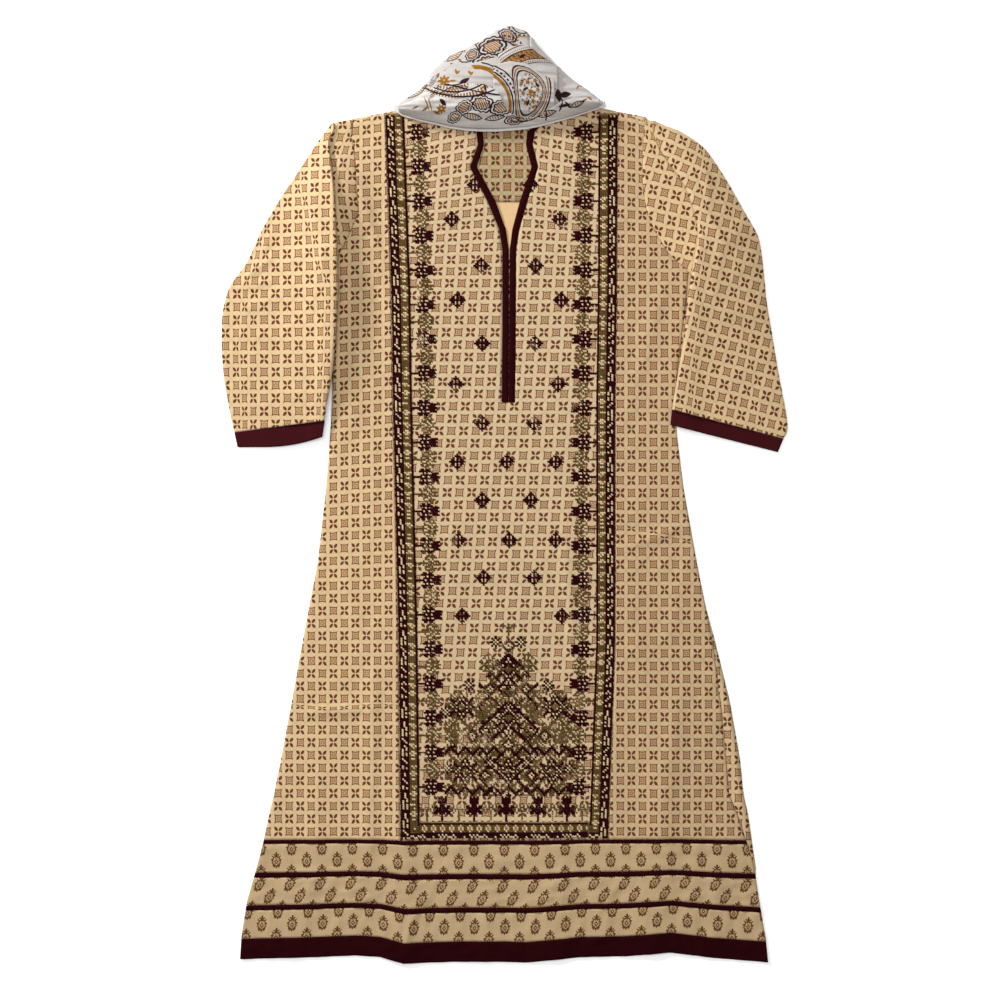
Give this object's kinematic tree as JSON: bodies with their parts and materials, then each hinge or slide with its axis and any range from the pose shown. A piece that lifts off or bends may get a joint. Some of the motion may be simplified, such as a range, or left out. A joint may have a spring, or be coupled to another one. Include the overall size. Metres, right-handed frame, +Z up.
{
  "type": "kameez tunic with dupatta",
  "caption": "Printed cotton kameez tunic with three-quarter sleeves and embroidered front, laid flat, with its dupatta scarf heaped over the neck.",
  "frame": {"origin": "centre of the laid suit's outline, on the surface it lies on", "axes": "+Z up out of the surface, +Y from the hem towards the neck, +X to the wearer's left, which is the right of a viewer over it"},
  "size_m": [0.7094, 1.1709, 0.0413],
  "materials": {
    "printed_cotton": "matt plain-woven cotton, small brown block print on beige",
    "booti_cotton": "matt plain-woven cotton, olive-brown booti sprigs on beige",
    "maroon_cotton": "matt plain-dyed cotton, dark maroon",
    "embroidery": "dense cross-stitch embroidery in maroon, olive and cream thread",
    "scarf_voile": "soft off-white cotton voile, mustard and dark maroon print"
  },
  "bodies": {
    "root": {"back_panel": "printed_cotton", "back_neck_facing": "printed_cotton", "front_side_panel_left": "printed_cotton", "front_side_panel_right": "printed_cotton", "front_centre_panel": "printed_cotton", "neck_binding_left": "maroon_cotton", "neck_binding_right": "maroon_cotton", "embroidered_border_left": "embroidery", "embroidered_border_right": "embroidery", "embroidered_border_foot": "embroidery", "front_stripe_1": "maroon_cotton", "front_band_1": "booti_cotton", "front_stripe_2": "maroon_cotton", "front_band_2": "booti_cotton", "front_stripe_3": "maroon_cotton", "front_band_3": "booti_cotton", "front_hem_band": "maroon_cotton", "sleeve_left": "printed_cotton", "sleeve_right": "printed_cotton", "cuff_left": "maroon_cotton", "cuff_right": "maroon_cotton", "dupatta_core": "scarf_voile", "dupatta_crown": "scarf_voile", "dupatta_right_fall": "scarf_voile", "dupatta_left_fold": "scarf_voile", "dupatta_raised_band": "scarf_voile", "dupatta_centre_fold": "scarf_voile", "dupatta_near_lap": "scarf_voile", "dupatta_selvedge": "scarf_voile"}
  },
  "joints": []
}
